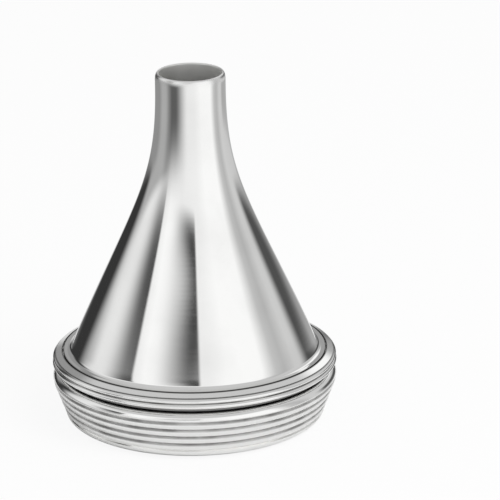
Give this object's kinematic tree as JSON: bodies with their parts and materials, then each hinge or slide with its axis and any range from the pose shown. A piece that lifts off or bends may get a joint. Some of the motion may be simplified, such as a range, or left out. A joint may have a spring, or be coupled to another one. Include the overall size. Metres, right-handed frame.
{
  "type": "ear speculum",
  "caption": "Polished metal funnel for looking into the ear: narrow rounded tip, concave flare, and a wide mouth standing on a ribbed grip rim.",
  "frame": {"origin": "centre of the face that the mouth stands on", "axes": "+Z along the funnel's axis, from the mouth towards the ear tip; every other direction is alike"},
  "size_m": [0.032, 0.032, 0.0402],
  "materials": {
    "polished_nickel": "bright polished nickel plate on spun brass",
    "turned_nickel": "nickel plate on turned brass, fine turning marks in the grooves",
    "soft_solder": "dull grey soft solder"
  },
  "bodies": {
    "root": {"funnel_shell": "polished_nickel", "upper_rim_ring": "turned_nickel", "lower_rim_ring": "turned_nickel", "brim_solder_seam": "soft_solder", "ring_solder_seam": "soft_solder"}
  },
  "joints": []
}
